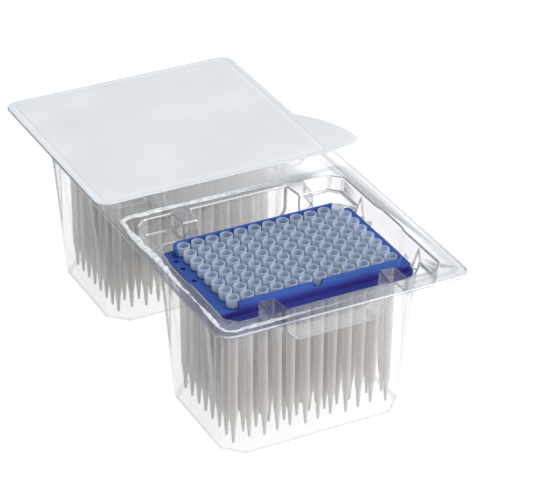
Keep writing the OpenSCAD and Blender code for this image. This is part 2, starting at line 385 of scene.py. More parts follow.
class Recipe:
    """The node tree of a material, or of the surroundings, while it is put together."""

    def __init__(self, owner: Material | World) -> None:
        """Starts from an empty tree.

        Args:
            owner: The material or the surroundings.
        """
        self.owner = owner
        owner.use_nodes = True
        owner.node_tree.nodes.clear()

    @classmethod
    def material(cls, name: str) -> Recipe:
        """Starts a new material."""
        return cls(bpy.data.materials.new(name))

    def add(self, kind: str, inputs: dict | None = None, **settings: object) -> Node:
        """Adds a node.

        Args:
            kind: The node's type, without its ShaderNode prefix.
            inputs: Values or output sockets for its inputs, by name or number.
            settings: The node's own settings.

        Returns:
            The node.
        """
        node = self.owner.node_tree.nodes.new("ShaderNode" + kind)
        for key, value in settings.items():
            setattr(node, key, value)
        for key, value in (inputs or {}).items():
            socket = node.inputs[key]
            if isinstance(value, NodeSocket):
                self.owner.node_tree.links.new(value, socket)
            else:
                socket.default_value = (*value, 1) if socket.type == "RGBA" else value
        return node

    @cached_property
    def place(self) -> NodeSocket:
        """The place on the part, in metres."""
        return self.add("TexCoord").outputs["Object"]

    @cached_property
    def spot(self) -> tuple[NodeSocket, ...]:
        """The place's X, Y and Z."""
        return tuple(self.add("SeparateXYZ", {0: self.place}).outputs)

    @cached_property
    def facing(self) -> NodeSocket:
        """How far the surface is turned: 0 face on, 1 edge on."""
        return self.add("LayerWeight", {"Blend": 0.5}).outputs["Facing"]

    def ramp(self, source: NodeSocket, *stops: tuple[float, Rgb | float]) -> NodeSocket:
        """Adds a colour ramp.

        Args:
            source: What drives it.
            stops: Each stop's place, and its colour or its grey level.

        Returns:
            Its colour socket.
        """
        node = self.add("ValToRGB", {"Fac": source})
        points = node.color_ramp.elements
        points.remove(points[-1])
        points[0].position = stops[0][0]
        for k, (place, colour) in enumerate(stops):
            point = points.new(place) if k else points[0]
            point.color = (*colour, 1) if isinstance(colour, tuple) else (*[colour] * 3, 1)
        return node.outputs["Color"]

    def span(self, value: NodeSocket, start: float, end: float,
             to: tuple[NodeSocket | float, NodeSocket | float] = (0.0, 1.0),
             **settings: object) -> NodeSocket:
        """Maps a stretch of a value onto another, and holds it beyond both ends.

        Args:
            value: The value.
            start: Where the stretch starts.
            end: Where it ends, which may be the lower of the two.
            to: What it becomes at its start and at its end.
            settings: The node's own settings.

        Returns:
            The new value.
        """
        inputs = {"Value": value, "From Min": start, "From Max": end,
                  "To Min": to[0], "To Max": to[1]}
        return self.add("MapRange", inputs, **settings).outputs["Result"]

    def math(self, operation: str, *values: NodeSocket | float) -> NodeSocket:
        """Joins values from left to right by one operation.

        Args:
            operation: The math node's operation.
            values: Two or more values, or one for an operation of one value.

        Returns:
            The last node's value.
        """
        if len(values) == 1:
            return self.add("Math", {0: values[0]}, operation=operation).outputs[0]
        return reduce(
            lambda a, b: self.add("Math", {0: a, 1: b}, operation=operation).outputs[0], values
        )

    def blend(self, share: NodeSocket | float, first: NodeSocket | Rgb, second: NodeSocket,
              kind: str = "MIX") -> NodeSocket:
        """Mixes two colours.

        Args:
            share: The second colour's share.
            first: The first colour.
            second: The second colour.
            kind: How they are mixed.

        Returns:
            The mixed colour.
        """
        inputs = {0: share, 6: first, 7: second}
        return self.add("Mix", inputs, data_type="RGBA", blend_type=kind).outputs[2]

    def times(self, *colours: NodeSocket) -> NodeSocket:
        """Multiplies colours."""
        return reduce(lambda a, b: self.blend(1.0, a, b, "MULTIPLY"), colours)

    def noise(self, **settings: float) -> NodeSocket:
        """Adds a noise texture over the part, with its inputs by name."""
        return self.add("TexNoise", {"Vector": self.place, **settings}).outputs["Fac"]

    def bump(self, height: NodeSocket, strength: float, distance: float) -> NodeSocket:
        """Adds a bump and returns its normal."""
        inputs = {"Height": height, "Strength": strength, "Distance": distance}
        return self.add("Bump", inputs).outputs[0]

    def clear(self, tint: NodeSocket | Rgb) -> Node:
        """Adds a clear shader."""
        return self.add("BsdfTransparent", {"Color": tint})

    def mix(self, share: NodeSocket | float, first: Node, second: Node) -> Node:
        """Adds a mix of two shaders, by the second one's share."""
        return self.add("MixShader", {0: share, 1: first.outputs[0], 2: second.outputs[0]})

    def finish(self, shader: Node) -> Material | World:
        """Connects the whole shader to the output.

        Args:
            shader: The shader.

        Returns:
            The finished material or surroundings.
        """
        kind = "OutputWorld" if isinstance(self.owner, World) else "OutputMaterial"
        self.add(kind, {"Surface": shader.outputs[0]})
        return self.owner


@dataclass(frozen=True)
class ClearSheetFinish:
    """Clear thermoformed sheet: thin and clear low down, milky by the flange, shiny at bends,
    with painted dark lines at bends and painted dark reflection by the flange's front corners and
    on one end wall.

    Stops lie along a share: of the turn from face on to edge on, of a bend's strength, of
    the sheet's height, or of the way from one well to the other. A reach is a stretch in
    metres. A fade is a distance in millimetres from an edge, inwards or outwards.
    """

    tints: Stops = (
        (0.3, (0.984, 0.984, 0.983)), (0.6, (0.974, 0.975, 0.975)),
        (0.85, (0.91, 0.913, 0.915)), (1.0, (0.34, 0.35, 0.37)),
    )
    mirror: Stops = ((0.0, 0.012), (0.5, 0.045), (0.75, 0.09), (1.0, 0.5))
    # painted dark lines at bends, standing in for the dark refraction of the bent sheet
    bend_painted_dark_lines: Stops = ((0.1, 1.0), (1.0, (0.42, 0.44, 0.48)))
    depth: Stops = ((0.62, 0.9), (0.82, 1.0))
    # heights where the end wall takes its painted dark reflection
    upper: Stops = ((0.70, 0.0), (0.82, 1.0))
    flange: Stops = ((0.97, 0.0), (0.99, 1.0))
    haze: Stops = ((0.0, 0.004), (0.66, 0.008), (0.82, 0.018), (0.975, 0.018), (0.99, 0.012))
    bridge: Stops = ((0.41, 0.0), (0.45, 1.0), (0.55, 1.0), (0.59, 0.0))
    flange_tint: Rgb = (0.975, 0.978, 0.985)
    # shaded, corner and end tints are painted dark reflection: the sheet greyer by the flange's
    # front corners and high on the right end wall
    shaded_tint: Rgb = (0.65, 0.69, 0.80)
    shaded_reach: Pair = (-0.02, -0.11)
    corner_painted_reflection_tint: Rgb = (0.86, 0.865, 0.87)
    corner_painted_reflection_reach: Pair = (0.09, 0.14)
    end_painted_reflection_tint: Rgb = (0.935, 0.935, 0.94)
    end_painted_reflection_fade: Pair = (6.0, 3.0)
    bridge_haze: Pair = (0.03, 0.24)
    bridge_reach: Pair = (-0.05, 0.04)
    pocket_haze: float = 0.031
    pocket_fade: Pair = (2.5, 1.0)
    lug_share: float = 0.25
    lug_fade: float = 1.5
    bend_haze: float = 0.24
    bend_shine: float = 0.25
    milk: Rgb = (0.93, 0.93, 0.935)
    gloss: Rgb = (0.95, 0.96, 0.97)
    roughness: float = 0.08

    def tint_with_painted_reflection(self, r: Recipe, sheet: ClearSheet, height: NodeSocket,
                   on_flange: NodeSocket) -> NodeSocket:
        """Tint of the thick plastic on the flange, with painted dark reflection by its front
        corners and high at one end.

        Args:
            r: The material's recipe.
            sheet: The sheet.
            height: Share of the sheet's height.
            on_flange: Share of the flange.

        Returns:
            The tint.
        """
        x, y, _ = r.spot
        # painted dark reflection: greyer by the flange's front corners and high on the end wall,
        # over the flange's own tint
        shade = r.span(r.math("ADD", x, y), *self.shaded_reach)
        corner = r.span(r.math("SUBTRACT", x, y), *self.corner_painted_reflection_reach)
        flange = r.times(r.ramp(shade, (0.0, self.flange_tint), (1.0, self.shaded_tint)),
                         r.ramp(corner, (0.0, 1.0), (1.0, self.corner_painted_reflection_tint)))
        end = r.span(x, *((sheet.mouth_w / 2 - fade) * MM for fade in self.end_painted_reflection_fade))
        high_end_painted_reflection = r.math("MULTIPLY", r.ramp(height, *self.upper), end)
        return r.blend(on_flange, r.ramp(high_end_painted_reflection, (0.0, 1.0), (1.0, self.end_painted_reflection_tint)), flange)

    def patches(self, r: Recipe, sheet: ClearSheet,
                on_flange: NodeSocket) -> tuple[NodeSocket, NodeSocket]:
        """Milk that comes and goes over the sheet.

        Args:
            r: The material's recipe.
            sheet: The sheet.
            on_flange: Share of the flange.

        Returns:
            The share of the usual milk, less on the front lugs, and the milk that is added
            on the bridge and in the pockets.
        """
        x, y, _ = r.spot
        pitch = sheet.sizes.well_pitch
        band = r.ramp(r.math("DIVIDE", y, pitch * MM), *self.bridge)
        frost = r.math("MULTIPLY", band, on_flange,
                       r.span(x, *self.bridge_reach, self.bridge_haze))
        inner, outer = ((sheet.mouth_d / 2 - fade) * MM for fade in self.pocket_fade)
        beyond = r.span(r.math("PINGPONG", y, pitch / 2 * MM), inner, outer)
        lug_x = (sheet.pocket_w + sheet.lug_w) / 2 * MM
        off_lug = r.math("ABSOLUTE", r.math("SUBTRACT", r.math("ABSOLUTE", x), lug_x))
        half = sheet.lug_w / 2
        on_lug = r.span(off_lug, (half + self.lug_fade) * MM, half * MM)
        clear = r.math("MAXIMUM", on_lug, on_flange)
        pocket = r.math("MULTIPLY", beyond, r.math("SUBTRACT", 1.0, clear), self.pocket_haze)
        front_lug = r.math("MULTIPLY", on_lug, r.span(y, -inner, -outer))
        share = r.span(front_lug, 0.0, 1.0, (1.0, self.lug_share))
        return share, r.math("ADD", frost, pocket)

    def build(self, sheet: ClearSheet) -> Material:
        """Makes the material.

        Args:
            sheet: The sheet, whose sizes say where each part of the finish lies.

        Returns:
            The material.
        """
        r = Recipe.material("clear_sheet")
        bend = r.add("Attribute", attribute_name=BEND).outputs["Fac"]
        height = r.math("DIVIDE", r.spot[2], sheet.sizes.flange_z * MM)
        depth = r.ramp(height, *self.depth)
        on_flange = r.ramp(height, *self.flange)
        faded = r.blend(depth, (1, 1, 1), r.ramp(r.facing, *self.tints))
        # painted dark lines along the bends, from the bend attribute
        line = r.ramp(bend, *self.bend_painted_dark_lines)
        clear = r.clear(r.times(faded, line, self.tint_with_painted_reflection(r, sheet, height, on_flange)))
        soft = r.math("ADD", r.ramp(height, *self.haze), r.math("MULTIPLY", bend, self.bend_haze))
        share, patches = self.patches(r, sheet, on_flange)
        milky = r.math("ADD", r.math("MULTIPLY", soft, share), patches)
        body = r.mix(milky, clear, r.add("BsdfDiffuse", {"Color": self.milk}))
        shine = r.math("ADD", r.math("MULTIPLY", r.ramp(r.facing, *self.mirror), depth),
                       r.math("MULTIPLY", bend, self.bend_shine))
        gloss = r.add("BsdfGlossy", {"Color": self.gloss, "Roughness": self.roughness})
        return r.finish(r.mix(shine, body, gloss))


@dataclass(frozen=True)
class TipFinish:
    """Natural translucent plastic: bluish by the deck from painted blue bounce light off the
    rack, warm below it, milky edge on.

    A cover is how much of what lies behind the plastic hides, face on and edge on.
    """

    # the collar's blue is painted bounce light from the blue rack
    collar_with_painted_blue: Rgb = (0.635, 0.72, 0.83)
    body: Rgb = (0.725, 0.71, 0.698)
    through: Rgb = (0.955, 0.953, 0.95)
    collar_cover: Pair = (0.42, 0.66)
    body_cover: Pair = (0.30, 0.64)
    nozzle_cover: Pair = (0.42, 0.82)
    nozzle_reach: Pair = (0.018, 0.034)
    painted_blue_fade: Pair = (-8.0, 1.0)
    edge_power: float = 1.6
    glow: float = 0.5
    roughness: float = 0.3

    def build(self, deck_z: float) -> Material:
        """Makes the material.

        Args:
            deck_z: Height of the racks' decks.

        Returns:
            The material.
        """
        r = Recipe.material("tip_plastic")
        height = r.spot[2]
        # painted blue bounce light near the deck, over the plastic's own colour
        rise = r.span(height, *((deck_z + fade) * MM for fade in self.painted_blue_fade))
        colour = r.ramp(rise, (0.0, self.body), (1.0, self.collar_with_painted_blue))
        above = r.span(height, *self.nozzle_reach)
        part = r.math("MULTIPLY", r.math("ADD", above, rise), 0.5)
        covers = zip(self.nozzle_cover, self.body_cover, self.collar_cover)
        flat, edge = (r.ramp(part, (0.0, a), (0.5, b), (1.0, c)) for a, b, c in covers)
        turned = r.math("POWER", r.facing, self.edge_power)
        cover = r.span(turned, 0.0, 1.0, (flat, edge))
        milk = r.add("BsdfPrincipled", {
            "Base Color": colour, "Roughness": self.roughness, "IOR": PLASTIC_IOR,
        })
        glow = r.add("BsdfTranslucent", {"Color": colour})
        return r.finish(r.mix(cover, r.clear(self.through), r.mix(self.glow, milk, glow)))


@dataclass(frozen=True)
class RackFinish:
    """Blue rack plastic, deeper where it is thick below the deck and with painted shade low down,
    and lighter on faces that look up as painted light.
    """

    top: Rgb = (0.032, 0.081, 0.30)
    low: Rgb = (0.027, 0.020, 0.165)
    deep_and_painted_shade_fade: Pair = (-2.4, 5.0)
    # painted light: faces that look up take more of the lighter top colour
    painted_light_facing_up: float = 3.0
    uneven: float = 0.12
    roughness: float = 0.5
    shine: float = 0.12

    def build(self, deck_z: float) -> Material:
        """Makes the material.

        Args:
            deck_z: Height of the racks' decks.

        Returns:
            The material.
        """
        r = Recipe.material("rack_blue")
        speckle = r.noise(Scale=400.0, Detail=3.0)
        # painted light and shade: up-facing faces lighter, low parts darker, partly also the
        # plastic's own depth below the deck
        normal = r.add("NewGeometry").outputs["Normal"]
        upward_for_painted_light = r.add("SeparateXYZ", {0: normal}).outputs["Z"]
        painted_light_height = r.math("ADD", r.spot[2], r.math("MULTIPLY", upward_for_painted_light, self.painted_light_facing_up * MM))
        rise = r.span(painted_light_height, *((deck_z + fade) * MM for fade in self.deep_and_painted_shade_fade))
        patchy = r.math("MULTIPLY", r.math("SUBTRACT", speckle, 0.5), self.uneven)
        colour = r.ramp(r.math("ADD", rise, patchy), (0.15, self.low), (0.75, self.top))
        return r.finish(r.add("BsdfPrincipled", {
            "Base Color": colour, "Roughness": self.roughness, "IOR": PLASTIC_IOR,
            "Normal": r.bump(speckle, 0.06, 0.0002), "Specular IOR Level": self.shine,
        }))


@dataclass(frozen=True)
class LidFinish:
    """Matt white lidding sheet with a cool cast, faint clouds and a fine fibre."""

    colour: Rgb = (0.615, 0.65, 0.672)
    clouds: Pair = (0.965, 1.04)
    translucency: float = 0.08
    roughness: float = 0.6
    shine: float = 0.0

    def build(self) -> Material:
        """Makes the material.

        Returns:
            The material.
        """
        r = Recipe.material("lid_foil")
        dark, light = (tuple(c * share for c in self.colour) for share in self.clouds)
        colour = r.ramp(r.noise(Scale=25.0, Detail=4.0), (0.3, dark), (0.7, light))
        fibre = r.bump(r.noise(Scale=900.0, Detail=2.0), 0.1, 0.0001)
        sheet = r.add("BsdfPrincipled", {
            "Base Color": colour, "Roughness": self.roughness,
            "Specular IOR Level": self.shine, "Normal": fibre,
        })
        through = r.add("BsdfTranslucent", {"Color": self.colour})
        return r.finish(r.mix(self.translucency, sheet, through))


@dataclass(frozen=True)
class HazeFinish:
    """White torn seal: frosted, with uneven cover, and fainter away from the torn corner."""

    colour: Rgb = (0.66, 0.69, 0.70)
    film: Rgb = (0.93, 0.94, 0.95)
    cover: Stops = ((0.35, 0.5), (0.6, 0.95))
    faint: float = 0.10
    torn_lean: float = 0.4
    torn_reach: Pair = (-0.030, 0.045)
    roughness: float = 0.6

    def build(self) -> Material:
        """Makes the material.

        Returns:
            The material.
        """
        r = Recipe.material("seal_haze")
        x, y, _ = r.spot
        cloud = r.noise(Scale=260.0, Detail=6.0, Roughness=0.65)
        toward_torn = r.math("SUBTRACT", r.math("MULTIPLY", y, self.torn_lean), x)
        whiteness = r.span(toward_torn, *self.torn_reach, (self.faint, 1.0))
        amount = r.math("MULTIPLY", r.ramp(cloud, *self.cover), whiteness)
        white = r.add("BsdfPrincipled", {
            "Base Color": self.colour, "Roughness": self.roughness,
            "Normal": r.bump(cloud, 0.5, 0.0003),
        })
        return r.finish(r.mix(amount, r.clear(self.film), white))


@dataclass(frozen=True)
class FloorFinish:
    """Plain pale floor, lit a little from below as a light table is."""

    level: float = 0.16
    patchy: float = 0.995
    glow: float = 0.96
    roughness: float = 0.9

    def build(self) -> Material:
        """Makes the material.

        Returns:
            The material.
        """
        r = Recipe.material("pale_floor")
        colour = r.ramp(r.noise(Scale=3.0), (0.0, self.level * self.patchy), (1.0, self.level))
        return r.finish(r.add("BsdfPrincipled", {
            "Base Color": colour, "Roughness": self.roughness,
            "Emission Color": (1, 1, 1), "Emission Strength": self.glow,
        }))


# --------------------------------------------------------------- clear sheet


@dataclass
class ClearSheet:
    """The clear sheet: flange with a turned-down rim, and two wells, all in one skin.

    Bands are stretches with close grid lines: how far they reach below and above a level,
    or inside and outside an edge.
    """

    sizes: PackSizes
    thickness: float = 0.7
    side_gap: float = 5.1
    lug_gap: float = 5.2
    draft_w: float = 9.3
    draft_d: float = 7.5
    corner_gap: float = 1.2
    foot_r: float = 8.0
    pocket_out: float = 13.5
    pocket_w: float = 62.0
    pocket_splay: float = 1.6
    pocket_drop: float = 22.7
    pocket_draft: float = 1.3
    pocket_leg: float = 6.0
    shelf_drop: float = 10.4
    shelf_leg: float = 6.0
    shelf_splay: float = 0.5
    lug_w: float = 12.0
    bay_len: float = 23.0
    bay_out: float = 1.2
    bay_drop: float = 17.0
    bay_run: float = 5.0
    bay_r: float = 0.5
    bay_edge_r: float = 0.6
    shoulder_w: float = 10.0
    shoulder_grip: float = 2.2
    shoulder_r: float = 0.8
    guide_gap: float = 0.7
    guide_flare: float = 1.5
    guide_end: float = 3.0
    guide_root: float = 1.0
    guide_r: float = 0.4
    flange_r: float = 9.0
    rim_drop: float = 1.9
    hem: float = 0.1
    floor_z: float = 0.7
    mouth_r: float = 1.0
    rim_r: float = 0.7
    bend_r: float = 1.0
    floor_r: float = 1.6
    thin_share: float = 0.4
    flat_angle: float = 0.35
    fine: float = 0.7
    close: float = 1.0
    plain: float = 2.4
    wide: float = 3.4
    tall: float = 6.5
    bay_step: float = 1.2
    rim_steps: Pair = (0.6, 0.5)
    rim_band: Pair = (2.4, 2.0)
    top_out: float = 1.5
    side_band: Pair = (22.0, 45.5)
    wall_band: Pair = (4.0, 3.0)
    bay_band: float = 2.0
    finger_y: float = 25.0
    floor_band: Pair = (-1.2, 4.2)
    pocket_band: Pair = (3.0, 8.5)
    shelf_band: Pair = (2.0, 3.0)

    @property
    def mouth_w(self) -> float:
        """Width of a well's mouth."""
        return self.sizes.foot_w + 2 * self.side_gap

    @property
    def mouth_d(self) -> float:
        """Depth of a well's mouth between its lugs."""
        return self.sizes.foot_d + 2 * self.lug_gap

    @property
    def half_span(self) -> float:
        """Distance from a well's middle to its pockets' outer walls."""
        return self.mouth_d / 2 + self.pocket_out

    def half_w(self, z: Array | float) -> Array | float:
        """Half the well's width at a height."""
        return self.mouth_w / 2 - self.draft_w * (1 - z / self.sizes.flange_z)

    def half_d(self, z: Array | float) -> Array | float:
        """Half the well's depth at a height."""
        return self.mouth_d / 2 - self.draft_d * (1 - z / self.sizes.flange_z)

    def corner_leg(self) -> float:
        """Leg of the flat across a well's corner, clear of the rack's foot.

        Returns:
            The leg.
        """
        s = self.sizes
        foot_corner = (s.foot_w + s.foot_d - 4 * self.foot_r) / math.sqrt(8) + self.foot_r
        reach = self.half_w(s.foot_z) + self.half_d(s.foot_z)
        return reach - math.sqrt(2) * (foot_corner + self.corner_gap)

    def well_field(self, x: Array, y: Array, z: Array) -> Array:
        """Field of one well's space, about its own middle.

        Args:
            x: Places along X.
            y: Places along Y.
            z: Heights.

        Returns:
            The field, negative in the well.
        """
        s = self.sizes
        x, y = np.abs(x), np.abs(y)
        r = self.bend_r
        half_w, half_d = self.half_w(z), self.half_d(z)
        ends = x - half_w
        flat = (x + y - (half_w + half_d - self.corner_leg())) / math.sqrt(2)
        deep = both(y - half_d, flat, r)

        splay = self.pocket_splay * (y - self.half_span) / self.pocket_out
        shelf_z = s.flange_z - self.shelf_drop
        inner = self.pocket_w / 2 + self.lug_w
        shelf_flat = (x + y - (half_w + self.half_span - self.shelf_leg)) / math.sqrt(2)
        shelf = both(y - self.half_span, shelf_flat, r)
        shelf = both(shelf, inner + self.shelf_splay * splay - x, r)
        shelf = both(shelf, shelf_z - z, r)
        space = both(either(deep, shelf, r), ends, r)
        space = both(space, self.floor_z - z, self.floor_r)

        pocket_z = s.flange_z - self.pocket_drop
        lean = self.pocket_draft * (s.flange_z - z) / self.pocket_drop
        side = x - (self.pocket_w / 2 - lean - splay)
        low_w = self.pocket_w / 2 - self.pocket_draft
        leg = (x - low_w + pocket_z - z + self.pocket_leg) / math.sqrt(2)
        pocket = both(both(side, leg, 2 * r), pocket_z - z, r)
        pocket = both(pocket, y - (self.half_span - lean), r)
        space = either(space, pocket, r)

        run = math.hypot(self.bay_run, self.bay_out)
        reach = x - half_w - self.bay_out
        slant = (reach * self.bay_run + (y - self.bay_len / 2) * self.bay_out) / run
        bay = both(slant, reach, self.bay_r)
        bay = both(bay, s.flange_z - self.bay_drop - z, self.bay_edge_r)
        bay = np.maximum(bay, half_w - 2 * self.bay_out - x)
        space = either(space, bay, self.bay_edge_r)

        middle = s.foot_d / 2 - self.foot_r / 2 - self.shoulder_w / 2
        aside = np.abs(y - middle)
        post = both(s.foot_w / 2 - self.shoulder_grip - x, aside - self.shoulder_w / 2, r)
        post = both(post, z - s.foot_z, self.shoulder_r)
        ridge = s.foot_w / 2 + self.guide_gap
        fade_z = s.flange_z - self.guide_end
        lean_out = (self.half_w(fade_z) - ridge) / (fade_z - s.foot_z)
        off = x - ridge - (z - s.foot_z) * lean_out
        guide = (aside - self.guide_flare * off) / math.hypot(1, self.guide_flare)
        guide = np.maximum(guide, s.foot_z - self.guide_root - z)
        return both(both(space, -post, r), -guide, self.guide_r)

    def plan(self, x: Array, y: Array) -> Array:
        """Distance from the flange's outline, negative inside."""
        s, middle = self.sizes, self.sizes.well_pitch / 2
        return rounded_plan(x, y - middle, (s.width / 2, middle + s.end_margin), self.flange_r)

    def above(self, x: Array, y: Array, z: Array) -> Array:
        """Field of everything above the sheet.

        Args:
            x: Places along X.
            y: Places along Y.
            z: Heights.

        Returns:
            The field, negative above the sheet.
        """
        s = self.sizes
        near = y - s.well_pitch * (y > s.well_pitch / 2)
        space = either(self.well_field(x, near, z), s.flange_z - z, self.mouth_r)
        beyond = np.maximum(-self.plan(x, y), s.flange_z - 2 * self.rim_drop - z)
        return either(space, beyond, self.rim_r)

    def field(self, points: Array) -> Array:
        """Field of everything above the sheet, at rows of points."""
        return self.above(*points.T)

    def grid(self) -> tuple[Array, Array, Array]:
        """Grid lines, close together only where the sheet bends.

        Returns:
            The lines along X, Y and Z.
        """
        s, fine, (rim_in, rim_out) = self.sizes, self.fine, self.rim_band
        edge, rim_step = s.width / 2, self.rim_steps[0]
        wall_in = self.half_w(0) - self.wall_band[0]
        wall_out = self.mouth_w / 2 + self.wall_band[1]
        side_in, side_out = self.side_band
        half_x = ticks(
            (0, side_in, self.wide), (side_in, side_out, fine), (side_out, wall_in, self.plain),
            (wall_in, wall_out, fine), (wall_out, edge - rim_in, self.plain),
            (edge - rim_in, edge + rim_out, rim_step),
        )
        bay_in = self.bay_len / 2 - self.bay_band
        bay_out = self.bay_len / 2 + 2 * self.bay_run
        half_y = ticks(
            (0, bay_in, self.wide), (bay_in, bay_out, self.bay_step),
            (bay_out, self.finger_y, self.plain), (self.finger_y, self.half_span + rim_in, fine),
        )
        reach, margin = half_y[-1], s.end_margin
        bridge = ticks((reach, s.well_pitch - reach, self.wide))[1:-1]
        end = ticks((reach, margin - rim_in, self.plain),
                    (margin - rim_in, margin + rim_out, rim_step))[1:]
        x, well = (np.concatenate([-half[:0:-1], half]) for half in (half_x, half_y))
        y = np.concatenate([-end[::-1], well, bridge, well + s.well_pitch, end + s.well_pitch])
        low, high = self.floor_band
        pocket_z, shelf_z = s.flange_z - self.pocket_drop, s.flange_z - self.shelf_drop
        pocket_low, pocket_high = pocket_z - self.pocket_band[0], pocket_z + self.pocket_band[1]
        shelf_low, shelf_high = shelf_z - self.shelf_band[0], shelf_z + self.shelf_band[1]
        z = ticks(
            (low, high, self.close), (high, pocket_low, self.tall),
            (pocket_low, pocket_high, fine), (pocket_high, shelf_low, self.close),
            (shelf_low, shelf_high, fine),
            (shelf_high, s.flange_z - rim_in, self.close),
            (s.flange_z - rim_in, s.flange_z + self.top_out, self.rim_steps[1]),
        )
        return x, y, z

    def top_skin(self) -> tuple[Array, Faces, Array]:
        """The sheet's upper surface, with its flat stretches joined into large faces.

        Returns:
            Points, faces and the points' normals.
        """
        axes = self.grid()
        values = self.above(*np.meshgrid(*axes, indexing="ij", sparse=True))
        points, quads = surface_net(values, axes)
        points = settle(self.field, points)
        plan = self.plan(points[:, 0], points[:, 1])
        hem_z = self.sizes.flange_z - self.rim_drop - self.hem
        outside = (plan > -self.thickness) & (points[:, 2] < hem_z)
        bm = bmesh.new()
        made = [bm.verts.new(p) for p in points]
        for quad in quads[~outside[quads].any(1)]:
            bm.faces.new([made[i] for i in quad])
        bmesh.ops.delete(bm, geom=[v for v in bm.verts if not v.link_faces], context="VERTS")
        bmesh.ops.dissolve_limit(bm, angle_limit=math.radians(self.flat_angle), verts=bm.verts,
                                 edges=bm.edges, delimit={"NORMAL"})
        bm.verts.index_update()
        points = np.array([v.co for v in bm.verts])
        faces = [[v.index for v in f.verts] for f in bm.faces]
        bm.free()
        return points, faces, -self.outward(points)

    def outward(self, points: Array) -> Array:
        """Unit slope of the field at some points."""
        slope = field_slope(self.field, points)
        return slope / np.maximum(np.linalg.norm(slope, axis=1), 1e-9)[:, None]

    def bend(self, points: Array, step: float = 0.3) -> Array:
        """How strongly the sheet's bends show at some points, fainter where it was drawn thin.

        Args:
            points: The points.
            step: How far to each side the slope is compared.

        Returns:
            A share for each point: 0 where flat, 1 at the tightest bend by the flange.
        """
        spread = np.zeros(len(points))
        for k, move in enumerate(np.eye(3) * step):
            turn = self.outward(points + move) - self.outward(points - move)
            spread += turn[:, k] / (2 * step)
        drawn = np.clip(points[:, 2] / self.sizes.flange_z, 0, 1)
        strength = self.thin_share + (1 - self.thin_share) * drawn**4
        return strength * np.clip(np.abs(spread) * self.bend_r, 0, 1)

    def corner_bends(self, points: Array, faces: Faces, inward: float = 0.3) -> list[list[float]]:
        """How strongly the bends show at each face's corners, read a little inside the face.

        Args:
            points: The skin's points.
            faces: Its faces, large where it is flat.
            inward: How far in from the corner, as a share of the way to the face's middle.

        Returns:
            A share for each corner of each face.
        """
        lengths = np.array([len(face) for face in faces])
        owner = np.repeat(np.arange(len(faces)), lengths)
        corners = points[[i for face in faces for i in face]]
        sums = np.stack([np.bincount(owner, corners[:, k]) for k in range(3)], 1)
        middles = sums / lengths[:, None]
        shares = self.bend(corners + inward * (middles[owner] - corners))
        return [shares[end - n:end].tolist() for end, n in zip(np.cumsum(lengths), lengths)]

    def build(self, finish: Material) -> None:
        """Builds the sheet with both its skins and the closed edge between them.

        Args:
            finish: The sheet's material.
        """
        points, faces, normals = self.top_skin()
        lower = points - normals * self.thickness
        count = len(points)
        edges = {pair for face in faces for pair in zip(face, face[1:] + face[:1])}
        rim = [pair for face in faces for pair in zip(face, face[1:] + face[:1])
               if pair[::-1] not in edges]
        under = [[i + count for i in reversed(face)] for face in faces]
        wall = [[b, a, a + count, b + count] for a, b in rim]
        every = faces + under + wall
        piece = new_piece("clear_sheet_skin", np.concatenate([points, lower]), every)
        blank = 4 * len(wall)
        loops = [*normals[[i for face in faces for i in face]].tolist(),
                 *(-normals)[[i - count for face in under for i in face]].tolist(),
                 *[(0.0, 0.0, -1.0)] * blank]
        piece.data.normals_split_custom_set(loops)
        corners = self.corner_bends(points, faces)
        values = [b for face in corners for b in face]
        values += [b for face in corners for b in face[::-1]] + [0.0] * blank
        piece.data.attributes.new(BEND, "FLOAT", "CORNER").data.foreach_set("value", values)
        log.info("sheet: %d triangles", sum(len(face) - 2 for face in every))
        mount_piece(piece, ["blister_sheet"], finish)


# ---------------------------------------------------------------- lid and seal


def loop_points(half: Pair, r: float, counts: tuple[int, int, int]) -> Array:
    """Points round a rectangle with rounded corners, the same number for any size.

    Args:
        half: Half its width and half its depth.
        r: Radius of its corners.
        counts: Steps along X, along Y and round a corner.

    Returns:
        The points, anticlockwise from the front side's left end.
    """
    w, d = half
    along_x, along_y, around = counts
    points: list[Pair] = []
    sides = (
        (along_x, (-w + r, -d), (w - r, -d + r), -90), (along_y, (w, -d + r), (w - r, d - r), 0),
        (along_x, (w - r, d), (-w + r, d - r), 90), (along_y, (-w, d - r), (-w + r, -d + r), 180),
    )
    for steps, start, centre, turn in sides:
        arc = []
        for i in range(around):
            a = math.radians(turn + 90 * i / around)
            arc.append((centre[0] + r * math.cos(a), centre[1] + r * math.sin(a)))
        for i in range(steps):
            t = i / steps
            points.append(tuple(a + t * (b - a) for a, b in zip(start, arc[0])))
        points += arc
    return np.array(points)


def along_path(path: Array, shares: Array) -> Array:
    """Points at shares of a path's length.

    Args:
        path: The path's points.
        shares: The shares.

    Returns:
        The points.
    """
    steps = np.linalg.norm(np.diff(path, axis=0), axis=1)
    gone = np.concatenate([[0], np.cumsum(steps)]) / steps.sum()
    return np.stack([np.interp(shares, gone, path[:, k]) for k in range(2)], 1)


